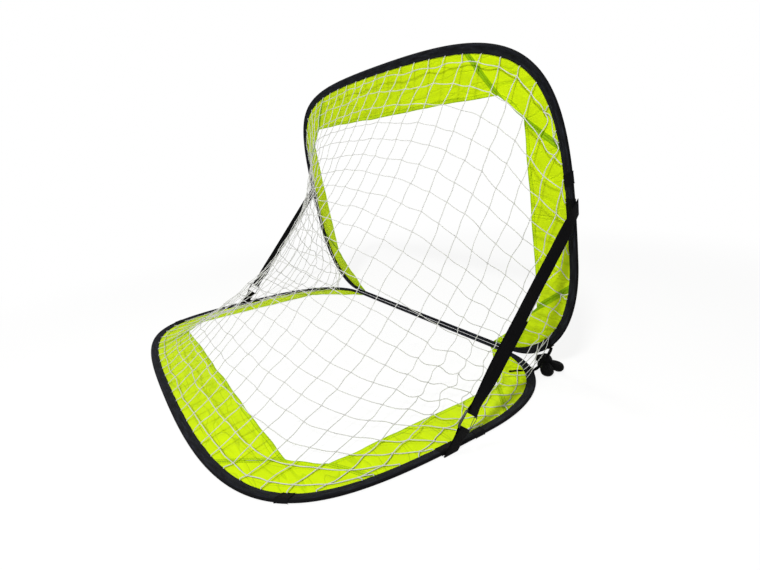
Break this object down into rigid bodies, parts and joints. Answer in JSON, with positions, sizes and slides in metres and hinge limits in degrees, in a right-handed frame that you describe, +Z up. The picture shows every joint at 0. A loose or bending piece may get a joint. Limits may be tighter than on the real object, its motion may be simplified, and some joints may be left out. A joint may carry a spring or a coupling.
{
  "type": "pop-up soccer goal",
  "caption": "Folding practice goal: a sprung ground hoop and a sprung upright hoop hinged along the goal line, joined by a sagging net and held open by clipped side straps.",
  "frame": {"origin": "the middle of the goal line, on the ground, on the underside of the ground hoop's hinge sleeve", "axes": "+X along the goal line to the right of a player who faces the mouth; +Y back under the net; +Z up"},
  "size_m": [1.2146, 0.8093, 0.7635],
  "materials": {
    "lime_fabric": "woven nylon",
    "black_tape": "folded woven binding tape",
    "black_webbing": "ribbed webbing",
    "black_wire": "black coated wire",
    "white_net": "knotted twisted cord",
    "rod": "glass-fibre rod",
    "ferrule": "plain drawn tube"
  },
  "bodies": {
    "ground_frame": {"binding_cuff_1": "black_tape", "binding_cuff_2": "black_tape", "binding_cuff_3": "black_tape", "binding_cuff_4": "black_tape", "clip_left": "black_wire", "clip_right": "black_wire", "clip_tab_left": "black_webbing", "clip_tab_right": "black_webbing", "ground_binding": "black_tape", "ground_far_band": "lime_fabric", "ground_far_corner_left": "lime_fabric", "ground_far_corner_right": "lime_fabric", "ground_ferrule": "ferrule", "ground_hinge_corner_left": "lime_fabric", "ground_hinge_corner_right": "lime_fabric", "ground_hinge_sleeve": "black_tape", "ground_rod": "rod", "ground_side_band_left": "lime_fabric", "ground_side_band_right": "lime_fabric", "ground_strap_wrap_left": "black_webbing", "ground_strap_wrap_right": "black_webbing", "ground_tie_wrap": "black_webbing", "net": "white_net", "side_strap_left": "black_webbing", "side_strap_right": "black_webbing", "tie_bow_long": "black_webbing", "tie_bow_short": "black_webbing", "tie_knot": "black_webbing", "tie_link_ground": "black_webbing", "tie_link_upright": "black_webbing", "tie_tail": "black_webbing"},
    "upright_frame": {"upright_binding": "black_tape", "upright_far_band": "lime_fabric", "upright_far_corner_left": "lime_fabric", "upright_far_corner_right": "lime_fabric", "upright_ferrule": "ferrule", "upright_hinge_corner_left": "lime_fabric", "upright_hinge_corner_right": "lime_fabric", "upright_hinge_sleeve": "black_tape", "upright_rod": "rod", "upright_side_band_left": "lime_fabric", "upright_side_band_right": "lime_fabric", "upright_strap_wrap_left": "black_webbing", "upright_strap_wrap_right": "black_webbing", "upright_tie_wrap": "black_webbing"},
    "gate_left": {"clip_gate_left": "black_wire"},
    "gate_right": {"clip_gate_right": "black_wire"}
  },
  "joints": [
    {"name": "fold", "type": "hinge", "parent": "ground_frame", "child": "upright_frame", "pos_m": [0, 0, 0.0083], "axis": [-1, 0, 0], "range_deg": [0, 74], "stiffness_Nm_per_rad": 0.6, "springref_deg": -28.65, "deforming": ["net", "side_strap_left", "side_strap_right", "tie_link_upright"]},
    {"name": "gate_left_swing", "type": "hinge", "parent": "ground_frame", "child": "gate_left", "pos_m": [-0.6024, 0.33336, 0.0498], "axis": [1, 0, 0], "range_deg": [0, 25], "stiffness_Nm_per_rad": 0.02, "springref_deg": -20.05},
    {"name": "gate_right_swing", "type": "hinge", "parent": "ground_frame", "child": "gate_right", "pos_m": [0.6024, 0.33336, 0.0498], "axis": [1, 0, 0], "range_deg": [0, 25], "stiffness_Nm_per_rad": 0.02, "springref_deg": -20.05}
  ]
}
